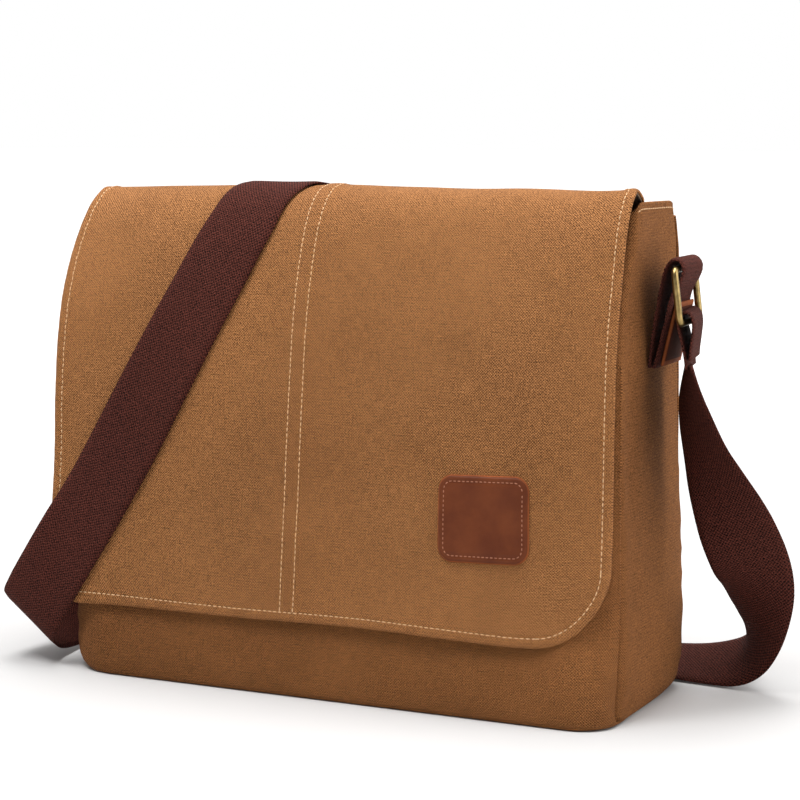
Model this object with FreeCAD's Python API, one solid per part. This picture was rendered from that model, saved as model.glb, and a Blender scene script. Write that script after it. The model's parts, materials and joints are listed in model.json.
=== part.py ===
"""Canvas messenger bag with a fold-over flap and a webbing shoulder strap.

Millimetres, +Z up. The flap faces -Y, and +X is to the right for someone looking at
it, so the nodes ending in _right are at +X. The origin is on the surface that the bag
stands on, under the middle of its base. Cloth lines are given as (y, z) pairs,
because every panel keeps one section across the bag's width.
"""
import FreeCAD
import Part
import math
import os

V = FreeCAD.Vector

# ---- driving dimensions ----
BAG_WIDTH = 380.0
BAG_TOP = 296.0
CANVAS = 1.6
LINING = 0.8
LAYER_GAP = 0.1
STRAP_WIDTH = 48.0
STRAP_THICK = 2.2
FLAP_WIDTH = 376.0
FLAP_SEAM_X = -20.0
FLAP_LAYER = 1.4
FOLD_GAP = 3.5
ROOT_GAP = 13.0
POCKET_TOP = 212.0
MOUTH_FACING = 26.0
ZIP_LENGTH = 190.0
ZIP_HEIGHT = 209.0
RING_X = 210.0
RING_TOP = 268.0
RING_DROP = 32.0
RING_SPAN = 54.0
RING_WIRE = 4.0
SNAP_X = 95.0
SNAP_Z = 85.0

HALF = BAG_WIDTH / 2
INNER_HALF = HALF - CANVAS - LAYER_GAP
FRONT_OUT = [(-58.0, 0.0), (-54.5, POCKET_TOP), (-29.0, BAG_TOP)]
FRONT_WALL = [(-45.2, CANVAS + LAYER_GAP), (-45.2, 222.0), (-27.2, BAG_TOP)]
BACK_WALL = [(51.2, CANVAS + LAYER_GAP), (51.2, 250.0), (45.2, BAG_TOP)]

# flap middle line: up the front, over the fold to the hinge at the back edge
FLAP_FRONT = [(-63.0, 43.0), (-60.5, 150.0), (-56.0, 225.0), (-51.0, 256.0), (-42.5, 281.0)]
FLAP_TOP = [(-42.5, 281.0), (-36.0, 294.0), (-27.0, 303.0), (-12.0, 310.5), (10.0, 314.0), (32.0, 310.0),
            (52.0, 299.0)]
FLAP_ROOT = [(53.0, 256.0), (52.0, 299.0)]

# strap route, ring to ring: middle of the webbing, then the way its width points
STRAP_ROUTE = [
    ((211, 0, 204), (-0.1, 1, 0)), ((214, 0, 190), (-0.4, 0.9, 0)),
    ((219, 2, 174), (-0.63, 0.77, -0.1)), ((224, 4, 157), (-0.76, 0.63, -0.14)),
    ((230, 7, 140), (-0.88, 0.43, -0.19)), ((236, 12, 123), (-0.95, 0.2, -0.26)),
    ((242, 17, 105), (-0.95, -0.07, -0.29)), ((247, 25, 88), (-0.95, -0.15, -0.22)),
    ((248, 36, 73), (-1, 0, 0)), ((246, 47, 58), (-0.94, 0.24, 0.25)),
    ((243, 57, 42), (-0.79, 0.46, 0.41)), ((239, 66, 27), (-0.5, 0.67, 0.55)),
    ((230, 73, 15), (-0.1, 0.87, 0.49)), ((213, 77, 10.5), (0, 0.93, 0.37)),
    ((190, 80, 8), (0, 0.97, 0.24)), ((150, 83, 7), (0, 0.98, 0.2)),
    ((100, 85, 8), (0, 0.97, 0.24)), ((45, 85, 10.5), (0, 0.92, 0.38)),
    ((-10, 83, 14), (0, 0.85, 0.52)),
    ((-65, 79, 19), (0, 0.68, 0.73)), ((-115, 73, 23), (0, 0.4, 0.92)),
    ((-150, 67, 25), (0, 0.2, 0.98)), ((-178, 63, 25.5), (0, 0, 1)),
    ((-196, 54, 26), (0, 0, 1)), ((-206, 38, 26), (-0.05, 0, 1)),
    ((-209, 20, 25.5), (-0.2, 0, 0.98)), ((-212, 2, 24.5), (-0.36, 0.05, 0.93)),
    ((-216, -16, 23), (-0.5, 0.1, 0.86)), ((-221, -33, 22), (-0.61, 0.15, 0.78)),
    ((-225, -49, 22), (-0.72, 0.16, 0.67)), ((-222, -61, 29), (-0.83, 0.07, 0.55)),
    ((-213, -67, 42), (-0.86, 0, 0.51)), ((-196, -66.4, 68), (-0.87, 0, 0.5)),
    ((-172, -65.2, 110), (-0.87, 0, 0.5)), ((-146, -63.8, 155), (-0.87, 0, 0.5)),
    ((-120, -61.8, 200), (-0.87, 0.03, 0.5)), ((-101, -59.2, 233), (-0.87, 0.06, 0.48)),
    ((-88.5, -55.2, 257), (-0.89, 0.1, 0.44)), ((-78, -49.3, 278), (-0.9, 0.16, 0.41)),
    ((-69.5, -42, 294), (-0.91, 0.21, 0.37)), ((-62, -30, 307.5), (-0.94, 0.29, 0.2)),
    ((-56.5, -14.3, 315), (-0.96, 0.26, 0.08)), ((-52, 4.6, 318.3), (-0.97, 0.23, 0.02)),
    ((-47.5, 22.9, 317.2), (-0.98, 0.21, -0.04)), ((-44.5, 38.5, 312.5), (-0.99, 0.13, -0.06)),
    ((-42.5, 56.5, 301), (-1, 0.02, -0.07)), ((-42, 60, 284), (-1, 0, -0.04)),
    ((-41, 60.5, 264), (-1, 0, -0.06)), ((-40, 62.5, 245), (-0.98, -0.15, -0.12)),
    ((-38, 67, 226), (-0.92, -0.37, -0.12)), ((-37, 72, 207), (-0.78, -0.61, -0.14)),
    ((-38, 77, 188), (-0.53, -0.83, -0.17)), ((-42, 81, 171), (-0.2, -0.95, -0.24)),
    ((-51, 84, 156), (0.06, -0.93, -0.37)), ((-66, 86, 144), (0.2, -0.83, -0.52)),
    ((-85, 87, 136), (0.26, -0.72, -0.64)), ((-105, 87, 129), (0.28, -0.61, -0.74)),
    ((-126, 85, 124), (0.27, -0.52, -0.81)), ((-148, 82, 121), (0.26, -0.46, -0.85)),
    ((-169, 78, 119), (0.24, -0.44, -0.87)), ((-188, 73, 119), (0.26, -0.47, -0.84)),
    ((-207, 61, 121), (0.36, -0.57, -0.74)), ((-214, 46, 127), (0.53, -0.63, -0.56)),
    ((-216, 31, 135), (0.68, -0.62, -0.38)), ((-216.5, 17, 146), (0.66, -0.7, -0.26)),
    ((-214, 5, 158), (0.4, -0.9, -0.1)), ((-211, 0, 175), (0, -1, 0)),
    ((-211, 0, 189), (0, -1, 0)), ((-211, 0, 204), (0, -1, 0)),
]


# ---- shape helpers ----
def save(node, *solids):
    """Write one sub-part, as one solid or as a group of separate solids."""
    shape = solids[0] if len(solids) == 1 else Part.makeCompound(list(solids))
    shape.exportStep("parts/" + node + ".step")


def slab(x_range, y_range, z_range):
    """A box from three (low, high) pairs."""
    low = V(x_range[0], y_range[0], z_range[0])
    high = V(x_range[1], y_range[1], z_range[1])
    size = high - low
    return Part.makeBox(size.x, size.y, size.z, low)


def prism(points, direction):
    """A closed outline of vectors, extruded."""
    return Part.Face(Part.makePolygon(points + points[:1])).extrude(direction)


def prism_yz(outline, x_range):
    """A (y, z) outline extruded across the bag."""
    points = [V(x_range[0], y, z) for y, z in outline]
    return prism(points, V(x_range[1] - x_range[0], 0, 0))


def unit(a, b):
    """Unit step from one (y, z) point to the next."""
    length = math.dist(a, b)
    return (b[0] - a[0]) / length, (b[1] - a[1]) / length


def shifted(line, distance):
    """An open (y, z) line moved to its left by distance, mitred at its bends."""
    steps = [unit(a, b) for a, b in zip(line, line[1:])]
    moved = []
    for i, (y, z) in enumerate(line):
        before = steps[max(i - 1, 0)]
        after = steps[min(i, len(steps) - 1)]
        side = (-before[1] - after[1], before[0] + after[0])
        reach = distance * 2 / (side[0] ** 2 + side[1] ** 2)
        moved.append((y + side[0] * reach, z + side[1] * reach))
    return moved


def shortened(line, start_gap, end_gap):
    """An open (y, z) line with a length cut off each end."""
    first = unit(line[0], line[1])
    last = unit(line[-1], line[-2])
    start = (line[0][0] + first[0] * start_gap, line[0][1] + first[1] * start_gap)
    end = (line[-1][0] + last[0] * end_gap, line[-1][1] + last[1] * end_gap)
    return [start] + line[1:-1] + [end]


def cloth(line, thick, x_range, offset=0.0):
    """A layer of cloth about a (y, z) line; a positive offset moves it to the line's left."""
    left = shifted(line, offset + thick / 2)
    right = shifted(line, offset - thick / 2)
    return prism_yz(left + right[::-1], x_range)


def y_on(line, height):
    """Where a rising (y, z) line is at a height."""
    for (y0, z0), (y1, z1) in zip(line, line[1:]):
        if min(z0, z1) <= height <= max(z0, z1):
            return y0 + (y1 - y0) * (height - z0) / (z1 - z0)
    return line[-1][0]


def mirrored(shape):
    """The same piece on the other side of the bag."""
    return shape.mirror(V(0, 0, 0), V(1, 0, 0))


# ---- bag shell ----
def pocket_front():
    """Full-width slip pocket under the flap; its sides are the side gussets."""
    line = [(-58.0 + CANVAS / 2, CANVAS + LAYER_GAP), (-54.5 + CANVAS / 2, POCKET_TOP)]
    return cloth(line, CANVAS, (-HALF, HALF))


def pocket_binding():
    """Folded binding over the pocket's top edge."""
    low = POCKET_TOP + LAYER_GAP
    return slab((-INNER_HALF, INNER_HALF), (-54.9, -52.5), (low, low + 5))


def side_gusset():
    """One side wall; its outline is the bag's section between front and back."""
    inset = CANVAS + LAYER_GAP
    front = [(y + inset, max(z, inset)) for y, z in FRONT_OUT]
    back = [(y - CANVAS / 2 - LAYER_GAP, z) for y, z in reversed(BACK_WALL)]
    return prism_yz(front + back, (HALF - CANVAS, HALF))


def back_panel():
    """Back wall with the window of its zip pocket."""
    wall = cloth(BACK_WALL, CANVAS, (-HALF, HALF))
    half = ZIP_LENGTH / 2
    window = slab((-half, half), (40, 60), (ZIP_HEIGHT - 5, ZIP_HEIGHT + 5))
    return wall.cut(window)


def lining_layers():
    """Thin lining, one sheet per wall, standing just inside the canvas."""
    floor_z = CANVAS + LAYER_GAP + 2.0 + LAYER_GAP
    low = floor_z + LINING + LAYER_GAP
    high = BAG_TOP - MOUTH_FACING - LAYER_GAP
    half = INNER_HALF - LINING - LAYER_GAP
    front_y = -43.5
    back_y = 46.0
    front_line = [(front_y, low), (front_y, 222.0), (y_on(FRONT_WALL, high) + 1.7, high)]
    back_line = [(back_y, low), (back_y, 246.0), (45.0, high)]
    save("lining_front", cloth(front_line, LINING, (-half, half)))
    save("lining_back", cloth(back_line, LINING, (-half, half)))
    save("lining_base", slab((-half, half), (front_y, back_y), (floor_z, floor_z + LINING)))
    outline = [(front_y + 1, low), (front_y + 1, 222), (-31, high), (44, high), (45, low)]
    side = prism_yz(outline, (half + LAYER_GAP, half + LAYER_GAP + LINING))
    save("lining_side_left", mirrored(side))
    save("lining_side_right", side)


def mouth_facing():
    """Canvas strips that face the inside of the mouth, sewn end to end."""
    low = BAG_TOP - MOUTH_FACING
    front = [(y_on(FRONT_WALL, low) + CANVAS + 0.3, low), (FRONT_WALL[-1][0] + CANVAS + 0.3, BAG_TOP)]
    back = [(y_on(BACK_WALL, low) - CANVAS - 0.3, low), (BACK_WALL[-1][0] - CANVAS - 0.3, BAG_TOP)]
    half = INNER_HALF - CANVAS
    strips = [cloth(line, 1.2, (-half, half)) for line in (front, back)]
    front_edge = [(y + 1, z) for y, z in front]
    back_edge = [(y - 1, z) for y, z in reversed(back)]
    side = prism_yz(front_edge + back_edge, (half + LAYER_GAP, half + 1.3))
    save("mouth_facing", strips[0], strips[1], side, mirrored(side))


def inner_pocket():
    """Slip pocket sewn flat on the back lining."""
    return slab((-130, 130), (44.6, 45.4), (110, 225))


# ---- back zip ----
def zip_tapes():
    """The two woven tapes of the zip, behind the window's edges."""
    half = ZIP_LENGTH / 2 + 8
    upper = slab((-half, half), (49.6, 50.2), (ZIP_HEIGHT + 2.8, ZIP_HEIGHT + 15))
    lower = slab((-half, half), (49.6, 50.2), (ZIP_HEIGHT - 15, ZIP_HEIGHT - 2.8))
    return upper, lower


def zip_coil():
    """The closed nylon coil, from its first stop to the slider."""
    half = ZIP_LENGTH / 2
    return slab((-half + 2, half - 12), (49.4, 51.4), (ZIP_HEIGHT - 2.6, ZIP_HEIGHT + 2.6))


def zip_stops():
    """Metal stops at both ends of the coil."""
    half = ZIP_LENGTH / 2
    heights = (ZIP_HEIGHT - 2.6, ZIP_HEIGHT + 2.6)
    return [slab((x, x + 1.6), (49.2, 51.6), heights) for x in (-half + 0.2, half - 1.8)]


def zip_slider():
    """Two plates joined by a wedge ahead of the coil, with a bridge for the pull."""
    middle = ZIP_LENGTH / 2 - 13
    outer = slab((middle - 6, middle + 6), (51.7, 52.9), (ZIP_HEIGHT - 4.2, ZIP_HEIGHT + 4.2))
    inner = slab((middle - 6, middle + 6), (48.0, 49.1), (ZIP_HEIGHT - 4.2, ZIP_HEIGHT + 4.2))
    wedge = slab((middle + 2, middle + 5), (49.0, 51.8), (ZIP_HEIGHT - 1, ZIP_HEIGHT + 1))
    leg = slab((middle + 1.6, middle + 2.4), (52.8, 55.4), (ZIP_HEIGHT - 0.8, ZIP_HEIGHT + 0.8))
    far_leg = leg.translated(V(-4, 0, 0))
    bar = Part.makeCylinder(0.6, 4.8, V(middle - 2.4, 54.8, ZIP_HEIGHT), V(1, 0, 0))
    return outer.multiFuse([inner, wedge, leg, far_leg, bar])


def zip_pull():
    """Tongue that hangs from the slider's bridge by its eye."""
    middle = ZIP_LENGTH / 2 - 13
    eye = Part.makeCylinder(1.6, 2.4, V(middle - 1.2, 54.8, ZIP_HEIGHT), V(1, 0, 0))
    neck = slab((middle - 1.2, middle + 1.2), (54.2, 55.4), (ZIP_HEIGHT - 6, ZIP_HEIGHT))
    tongue = slab((middle - 3, middle + 3), (54.2, 55.4), (ZIP_HEIGHT - 27, ZIP_HEIGHT - 5))
    bore = Part.makeCylinder(0.85, 6, V(middle - 3, 54.8, ZIP_HEIGHT), V(1, 0, 0))
    return eye.multiFuse([neck, tongue]).cut(bore)


def zip_pouch():
    """Flat pouch of the zip pocket, hanging between back panel and lining."""
    return slab((-105, 105), (46.8, 47.6), (70, 226))


# ---- flap ----
def flap_layers(name, line, start_gap, end_gap):
    """Outer canvas left and right of the seam, and the lining inside them."""
    middle = shortened(line, start_gap, end_gap)
    half = FLAP_WIDTH / 2
    apart = FLAP_LAYER / 2 + LAYER_GAP / 2
    save(name + "_left", cloth(middle, FLAP_LAYER, (-half, FLAP_SEAM_X - 0.1), apart))
    save(name + "_right", cloth(middle, FLAP_LAYER, (FLAP_SEAM_X + 0.1, half), apart))
    save(name + "_lining", cloth(middle, FLAP_LAYER, (-half, half), -apart))


def leather_patch():
    """Rounded patch sewn on the flap's lower right."""
    width, height, thick, corner = 60.0, 51.0, 1.8, 9.0
    patch = Part.makeBox(width, thick, height, V(80, 0, 93))
    patch = patch.makeFillet(corner, [e for e in patch.Edges if abs(e.tangentAt(0).y) > 0.9])
    foot = y_on(FLAP_FRONT, 93.0) - FLAP_LAYER - LAYER_GAP - thick
    lean = math.degrees(math.atan2(2.5, 107.0))
    patch.rotate(V(0, 0, 93), V(1, 0, 0), -lean)
    patch.translate(V(0, foot - 0.05, 0))
    return patch


def snap_discs(y_base, y_face, boss, bore):
    """Two equal discs, each with a boss or a bore in its middle."""
    discs = []
    for x in (-SNAP_X, SNAP_X):
        disc = Part.makeCylinder(9, y_face - y_base, V(x, y_base, SNAP_Z), V(0, 1, 0))
        if boss:
            disc = disc.fuse(Part.makeCylinder(2.6, boss, V(x, y_face - 0.2, SNAP_Z), V(0, 1, 0)))
        if bore:
            disc = disc.cut(Part.makeCylinder(bore, 10, V(x, y_base - 5, SNAP_Z), V(0, 1, 0)))
        discs.append(disc)
    return discs


# ---- strap hardware ----
def ring():
    """Rectangular wire ring with rounded corners, hanging from the tab."""
    half = RING_SPAN / 2
    low = RING_TOP - RING_DROP
    corner = 4.0
    edges = []
    turns = [(1, 1, 90), (-1, 1, 180), (-1, -1, 270), (1, -1, 360)]
    for y_sign, z_sign, end_angle in turns:
        centre = V(0, y_sign * (half - corner), (RING_TOP if z_sign > 0 else low) - z_sign * corner)
        angles = [math.radians(end_angle - back) for back in (90, 45, 0)]
        points = [centre + V(0, corner * math.cos(a), corner * math.sin(a)) for a in angles]
        if edges:
            edges.append(Part.makeLine(edges[-1].lastVertex().Point, points[0]))
        edges.append(Part.Arc(*points).toShape())
    start = edges[0].firstVertex().Point
    edges.append(Part.makeLine(edges[-1].lastVertex().Point, start))
    section = Part.Wire(Part.makeCircle(RING_WIRE / 2, start, V(0, 0, 1)))
    return Part.Wire(edges).makePipeShell([section], True, False).translated(V(RING_X, 0, 0))


def webbing_tab():
    """Webbing folded round the ring's top bar and sewn to the gusset below it."""
    width = 46.0
    foot = V(HALF + 2.2, -width / 2, 206)
    top = V(RING_X, -width / 2, RING_TOP)
    along = (top - foot).normalize()
    across = V(along.z, 0, -along.x) * (STRAP_THICK * 1.6 / 2)
    plate = prism([foot - across, foot + across, top + across, top - across], V(0, width, 0))
    roll = Part.makeCylinder(4.4, width, top, V(0, 1, 0))
    bore = Part.makeCylinder(RING_WIRE / 2 + 0.4, width + 2, top - V(0, 1, 0), V(0, 1, 0))
    return plate.fuse(roll).cut(bore)


def tab_leather():
    """Leather reinforcement on the outside of the tab's sewn part."""
    width = 36.0
    foot = V(HALF + 2.2, -width / 2, 206)
    along = (V(RING_X, -width / 2, RING_TOP) - foot).normalize()
    across = V(along.z, 0, -along.x)
    near = across * (STRAP_THICK * 1.6 / 2 + 0.1)
    far = across * (STRAP_THICK * 1.6 / 2 + 1.5)
    low = foot + along * 1.5
    high = foot + along * 42
    return prism([low + near, low + far, high + far, high + near], V(0, width, 0))


def strap_end():
    """The strap's end, folded round the ring's lower bar and sewn to itself."""
    low = RING_TOP - RING_DROP
    half = STRAP_WIDTH / 2
    tail = slab((RING_X - STRAP_THICK, RING_X + STRAP_THICK), (-half, half), (205, low))
    roll = Part.makeCylinder(RING_WIRE / 2 + 2.6, 2 * half, V(RING_X, -half, low), V(0, 1, 0))
    bore = Part.makeCylinder(RING_WIRE / 2 + 0.3, 2 * half + 2, V(RING_X, -half - 1, low), V(0, 1, 0))
    return tail.fuse(roll).cut(bore)


def strap_slider():
    """Three-bar slider on the left leg; the webbing passes between its bars."""
    outer_bars = [Part.makeCylinder(1.3, 57, V(-214.2, -28.5, z), V(0, 1, 0)) for z in (182, 201)]
    middle_bar = Part.makeCylinder(1.3, 57, V(-207.8, -28.5, 191.5), V(0, 1, 0))
    sides = [slab((-215.5, -206.5), (y, y + 3), (180.7, 202.3)) for y in (-29, 26)]
    return sides[0].multiFuse(outer_bars + [middle_bar, sides[1]])


def strap_section(place, along, width_way):
    """The four corners of the webbing where its middle is at place."""
    wide = V(*width_way)
    wide = (wide - along * wide.dot(along)).normalize() * (STRAP_WIDTH / 2)
    thin = along.cross(wide).normalize() * (STRAP_THICK / 2)
    return [place + wide + thin, place - wide + thin, place - wide - thin, place + wide - thin]


def triangles(a, b, c, d):
    """Two flat faces for a corner-to-corner patch that may be twisted."""
    return [Part.Face(Part.makePolygon([a, b, c, a])), Part.Face(Part.makePolygon([a, c, d, a]))]


def shoulder_strap():
    """Webbing along its route, as flat faces between rectangular sections."""
    middles = [V(*point) for point, _ in STRAP_ROUTE]
    ends = [middles[0], *middles, middles[-1]]
    sections = []
    for i, (_, width_way) in enumerate(STRAP_ROUTE):
        sections.append(strap_section(middles[i], (ends[i + 2] - ends[i]).normalize(), width_way))
    faces = triangles(*reversed(sections[0])) + triangles(*sections[-1])
    for low, high in zip(sections, sections[1:]):
        for i, j in ((0, 1), (1, 2)):
            faces += triangles(low[i], low[j], high[j], high[i])
        for i, j in ((2, 3), (3, 0)):
            faces += triangles(low[j], high[j], high[i], low[i])
    strap = Part.Solid(Part.Shell(faces))
    length = sum((b - a).Length for a, b in zip(middles, middles[1:]))
    fullness = strap.Volume / (length * STRAP_WIDTH * STRAP_THICK)
    print("strap: length %.0f mm, volume ratio %.3f" % (length, fullness))
    print("strap: valid", strap.isValid(), "lowest point %.2f mm" % strap.BoundBox.ZMin)
    return strap


def build():
    """Write every sub-part."""
    os.makedirs("parts", exist_ok=True)
    full = (-HALF, HALF)
    between = (-INNER_HALF, INNER_HALF)
    save("front_panel", cloth(FRONT_WALL, CANVAS, between))
    save("back_panel", back_panel())
    save("side_gusset_left", mirrored(side_gusset()))
    save("side_gusset_right", side_gusset())
    save("base_panel", slab(full, (FRONT_OUT[0][0], BACK_WALL[0][0] + CANVAS / 2), (0, CANVAS)))
    board_low = CANVAS + LAYER_GAP
    save("base_board", slab((-184, 184), (-43, 49), (board_low, board_low + 2.0)))
    save("front_pocket", pocket_front())
    save("front_pocket_binding", pocket_binding())
    lining_layers()
    mouth_facing()
    save("inner_pocket", inner_pocket())

    save("zip_tapes", *zip_tapes())
    save("zip_coil", zip_coil())
    save("zip_stops", *zip_stops())
    save("zip_slider", zip_slider())
    save("zip_pull", zip_pull())
    save("zip_pouch", zip_pouch())

    flap_width = (-FLAP_WIDTH / 2, FLAP_WIDTH / 2)
    save("flap_root", cloth(shortened(FLAP_ROOT, 0, ROOT_GAP), 2 * FLAP_LAYER, flap_width))
    flap_layers("flap_top", FLAP_TOP, FOLD_GAP, FOLD_GAP)
    flap_layers("flap_front", FLAP_FRONT, 0, FOLD_GAP)
    save("leather_patch", leather_patch())
    save("snap_studs", *snap_discs(-60.25, -59.25, 1.3, 0))
    save("snap_sockets", *snap_discs(-58.9, -56.9, 0, 3.6))
    save("snap_washers", *snap_discs(-54.75, -53.95, 0, 0))

    for side, place in (("right", lambda shape: shape), ("left", mirrored)):
        save("ring_" + side, place(ring()))
        save("tab_" + side, place(webbing_tab()))
        save("tab_leather_" + side, place(tab_leather()))
        save("strap_end_" + side, place(strap_end()))
    save("strap_slider", strap_slider())
    save("shoulder_strap", shoulder_strap())


build()
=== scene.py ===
"""Looks of the canvas messenger bag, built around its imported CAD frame.

Shapes are worked out in millimetres in the frame's axes (X right, -Y front, +Z up)
and scaled to metres when a mesh is made.
"""
import json
import math

import bpy
import numpy as np
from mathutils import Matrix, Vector
from mathutils.kdtree import KDTree


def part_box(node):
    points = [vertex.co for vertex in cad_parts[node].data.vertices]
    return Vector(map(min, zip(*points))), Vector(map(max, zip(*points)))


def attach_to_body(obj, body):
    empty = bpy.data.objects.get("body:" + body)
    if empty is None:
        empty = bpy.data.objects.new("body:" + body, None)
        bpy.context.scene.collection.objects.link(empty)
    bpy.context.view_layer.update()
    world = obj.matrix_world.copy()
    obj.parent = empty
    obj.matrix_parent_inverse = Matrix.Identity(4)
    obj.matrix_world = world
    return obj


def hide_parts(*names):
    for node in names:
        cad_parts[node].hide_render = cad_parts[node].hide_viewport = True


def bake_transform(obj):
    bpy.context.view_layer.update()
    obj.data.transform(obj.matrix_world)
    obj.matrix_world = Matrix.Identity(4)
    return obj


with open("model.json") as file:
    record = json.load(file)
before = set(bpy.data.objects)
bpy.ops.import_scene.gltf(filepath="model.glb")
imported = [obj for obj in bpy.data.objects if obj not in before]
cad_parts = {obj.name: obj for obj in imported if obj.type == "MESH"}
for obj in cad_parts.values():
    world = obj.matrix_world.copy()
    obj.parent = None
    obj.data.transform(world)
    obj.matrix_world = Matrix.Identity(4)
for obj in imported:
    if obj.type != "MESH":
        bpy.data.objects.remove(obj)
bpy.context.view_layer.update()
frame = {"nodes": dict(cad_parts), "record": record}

# ---- sizes in millimetres ----
HALF = 190.0
WEBBING = 48.0
WEBBING_THICK = 2.2
FOLDED_WIDTH = 44
CLOTH_THICK = 1.6
LINING_THICK = 1.1
LINING_DEPTH = 1.7
FLAP_HALF = 190.5
FLAP_MIDDLE = -1.5
FLAP_CORNERS = (22.0, 42.0)
FLAP_HEM = 5.6
FLAP_BACK_LENGTH = 92
SEAM_LINES = (-21.5, -12.3)
RING_X = 210.0
RING_TOP = 268.0
RING_DROP = 32.0
RING_SPAN = 54.0
WIRE_RADIUS = 2.1
TAB_FOOT = 206
STITCH_STEP = 3.6
ZIP_BELOW_TOP = 88
ZIP_HALF_LENGTH = 95
ZIP_HALF_HEIGHT = 5
SNAP_X = 95.0
SNAP_Z = 85.0
FLOOR_HALF = 30000
# the patch's middle in flap coordinates, its half sizes and corner radius, and its slight turn
PATCH = (111.8, 73.2, 28.3, 25.4, 8.5)
PATCH_TURN = 0.035
# how much of the lower left corner's pull back also goes inward
SLACK_INWARD = 0.45
# for each side: its direction, its name, and in degrees the ring's turn and tilt, the tab's turn
# and the strap end's turn
SIDES = (
    (1, "right", 4, 7, 2, 10),
    (-1, "left", -24, -3, -24, -12),
)

# outer surface of the one cloth that makes pocket front, base and back, as (y, z):
# along the bag's middle, and at its side seams
BAND_MIDDLE = [
    (-56, 212), (-57.5, 185), (-60, 150), (-65, 100), (-71, 65), (-76.3, 42), (-79.6, 24), (-80.8, 9),
    (-80, 2.3), (-76, 0.3), (-40, 0.3), (0, 0.3), (38, 0.3), (50, 1), (56.5, 5), (59.5, 15), (60, 35),
    (59, 80), (56.5, 140), (53, 185), (52.6, 235), (51.5, 262), (47.5, 297),
]
BAND_SEAM = [
    (-55.5, 212), (-55.5, 185), (-56, 150), (-57, 100), (-57, 68), (-57, 40), (-58, 24), (-60, 10),
    (-60, 3.5), (-55, 1.2), (-36, 1), (0, 1), (34, 1), (47, 2.6), (54, 7), (57.2, 18), (58.2, 36), (58.2, 80),
    (56.8, 140), (55.7, 185), (54.8, 235), (53, 270), (47, 297),
]
# side wall: its front and back edges, from the base up
GUSSET_FRONT = [
    (-34, 1.2), (-53, 1.6), (-58.3, 4), (-58.5, 10), (-56.6, 24), (-55.6, 40), (-55.6, 68), (-55.6, 100),
    (-54.6, 150), (-54, 185), (-54, 212), (-50, 232), (-42, 258), (-34, 284), (-29, 300),
]
GUSSET_BACK = [
    (32, 1.2), (46, 2.8), (52.6, 7.4), (55.8, 18), (56.8, 36), (57, 60), (56.6, 100), (55.4, 150),
    (54.3, 185), (53.9, 212), (53.4, 232), (52.4, 258), (50.6, 276), (46.5, 292), (42, 299.2),
]
# outer surface of the flap as (y, z), from its root down the back, over the top and down the
# front: along its middle, its left edge and its right edge
FLAP_MIDDLE_LINE = [
    (55, 256), (55.6, 272), (55.3, 286), (51.5, 297), (43, 303), (31.5, 306.5), (18, 309.5), (4, 312),
    (-10, 313.3), (-24, 309.5), (-35, 300), (-44, 285), (-51.5, 265), (-58.5, 238), (-63.5, 205), (-68, 170),
    (-71.5, 135), (-75, 100), (-78, 69), (-80.4, 47.5),
]
FLAP_LEFT_LINE = [
    (55, 256), (55.4, 272), (54.6, 284), (50.5, 294), (42, 300.5), (31, 304.5), (18, 307.5), (6, 310),
    (-6, 310.6), (-20.7, 302), (-33, 289.5), (-43, 275), (-52.5, 257), (-60, 234), (-65, 204.6),
    (-68.6, 171.6), (-71, 140), (-74.5, 110), (-77.5, 74), (-79, 42),
]
FLAP_RIGHT_LINE = [
    (55, 256), (55.2, 272), (53.8, 283), (49, 291), (40, 296), (28, 299), (13, 301), (-4, 304.5),
    (-18.5, 312.6), (-27, 314.8), (-37.6, 305.9), (-45.8, 289.4), (-52.3, 264.3), (-58.4, 237), (-61.4, 206),
    (-62.6, 170), (-63.2, 135), (-64, 102), (-67, 74), (-70, 50),
]

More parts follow.
